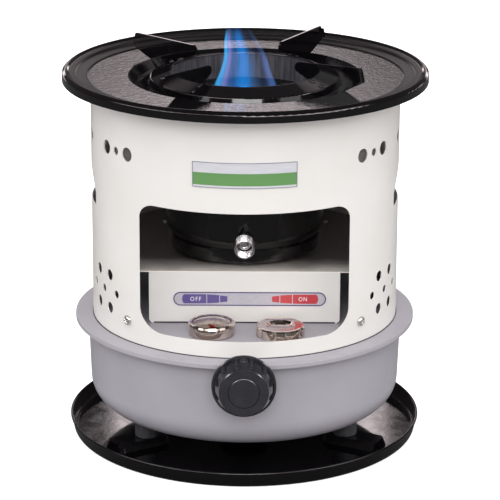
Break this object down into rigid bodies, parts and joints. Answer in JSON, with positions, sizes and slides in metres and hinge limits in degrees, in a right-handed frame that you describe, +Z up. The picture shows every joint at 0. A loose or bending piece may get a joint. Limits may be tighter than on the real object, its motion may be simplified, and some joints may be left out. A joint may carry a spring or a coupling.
{
  "type": "kerosene stove",
  "caption": "Round kerosene cooking stove with a wick burner, window, fuel tank, drip tray and pot trivet.",
  "frame": {"origin": "on the ground at the stove's vertical axis", "axes": "+Z up, the front with the window and the knob faces -Y, +X to the right seen from the front"},
  "size_m": [0.31, 0.3225, 0.3358],
  "materials": {
    "black_enamel": "glossy",
    "white_enamel": "glossy",
    "tank_paint": "satin",
    "rubber": "matte",
    "zinc_steel": "satin",
    "plain_steel": "satin",
    "bright_deck": "polished",
    "heated_steel": "satin",
    "nickel": "polished",
    "chrome": "polished",
    "brass": "satin",
    "nameplate": "satin",
    "black_plastic": "satin",
    "wick_fabric": "matte",
    "packing_fibre": "matte",
    "gasket_rubber": "matte",
    "label_film": "satin",
    "dial_paint": "matte",
    "needle_paint": "satin",
    "clear_lens": "polished",
    "float_plastic": "matte"
  },
  "bodies": {
    "stove": {"base_tray": "black_enamel", "foot_right": "rubber", "foot_back": "rubber", "foot_left": "rubber", "foot_screws": "zinc_steel", "tank_pan": "tank_paint", "tank_top": "tank_paint", "air_tube": "plain_steel", "wick_guide_tube": "plain_steel", "burner_seat": "plain_steel", "gland_bush": "brass", "gland_packing": "packing_fibre", "gland_nut": "brass", "filler_neck": "zinc_steel", "gauge_gasket": "gasket_rubber", "gauge_base": "zinc_steel", "gauge_dial": "dial_paint", "gauge_bezel": "nickel", "gauge_lens": "clear_lens", "gauge_guide": "zinc_steel", "deck_plate": "bright_deck", "deck_panel": "white_enamel", "deck_leg_left": "zinc_steel", "deck_leg_right": "zinc_steel", "deck_screws": "zinc_steel", "control_label": "label_film", "casing": "white_enamel", "casing_bracket_front_left": "zinc_steel", "casing_bracket_front_right": "zinc_steel", "casing_bracket_back_left": "zinc_steel", "casing_bracket_back_right": "zinc_steel", "casing_screws": "zinc_steel", "nameplate": "nameplate", "heat_shield": "plain_steel"},
    "winder": {"winder_shaft": "plain_steel", "winder_pinion": "plain_steel", "knob": "black_plastic", "knob_cap": "black_plastic"},
    "wick": {"wick": "wick_fabric", "wick_carrier": "plain_steel"},
    "cap_gasket": {"filler_gasket": "gasket_rubber"},
    "cap": {"filler_cap": "nickel"},
    "float": {"gauge_float": "float_plastic"},
    "needle": {"gauge_needle": "needle_paint"},
    "burner": {"burner_base_ring": "black_enamel", "burner_drum": "black_enamel", "drum_rivets": "zinc_steel", "outer_flame_tube": "heated_steel", "inner_flame_tube": "heated_steel", "flame_spreader": "heated_steel", "burner_rods": "zinc_steel", "handle_strap": "black_enamel", "handle_stud": "chrome", "handle_coil": "chrome"},
    "top_tray": {"top_tray": "black_enamel"},
    "trivet": {"trivet_ring": "black_enamel", "pot_support_front_left": "black_enamel", "pot_support_front_right": "black_enamel", "pot_support_back_left": "black_enamel", "pot_support_back_right": "black_enamel"}
  },
  "joints": [
    {"name": "knob_turn", "type": "hinge", "parent": "stove", "child": "winder", "pos_m": [0, -0.15, 0.0898], "axis": [0, 1, 0], "range_deg": [-137.5, 0]},
    {"name": "wick_slide", "type": "slide", "parent": "stove", "child": "wick", "axis": [0, 0, 1], "range_m": [-0.012, 0]},
    {"name": "burner_lift", "type": "slide", "parent": "stove", "child": "burner", "axis": [0, 0, 1], "range_m": [0, 0.01]},
    {"name": "tray_lift", "type": "slide", "parent": "stove", "child": "top_tray", "axis": [0, 0, 1], "range_m": [0, 0.06]},
    {"name": "trivet_lift", "type": "slide", "parent": "top_tray", "child": "trivet", "axis": [0, 0, 1], "range_m": [0, 0.04]},
    {"name": "cap_rise", "type": "slide", "parent": "stove", "child": "cap_gasket", "axis": [0, 0, 1], "range_m": [0, 0.01]},
    {"name": "cap_turn", "type": "hinge", "parent": "cap_gasket", "child": "cap", "pos_m": [0.03, -0.103, 0.12], "axis": [0, 0, 1], "range_deg": [0, 900]},
    {"name": "float_slide", "type": "slide", "parent": "stove", "child": "float", "axis": [0, 0, 1], "range_m": [0, 0.045]},
    {"name": "needle_turn", "type": "hinge", "parent": "stove", "child": "needle", "pos_m": [-0.027, -0.102, 0.12], "axis": [0, 0, 1], "range_deg": [0, 259]}
  ],
  "couplings": [
    {"joint": "wick_slide", "follows": "knob_turn", "m_per_rad": 0.005},
    {"joint": "cap_turn", "follows": "cap_rise", "rad_per_m": 1570.8},
    {"joint": "needle_turn", "follows": "float_slide", "rad_per_m": 100}
  ]
}
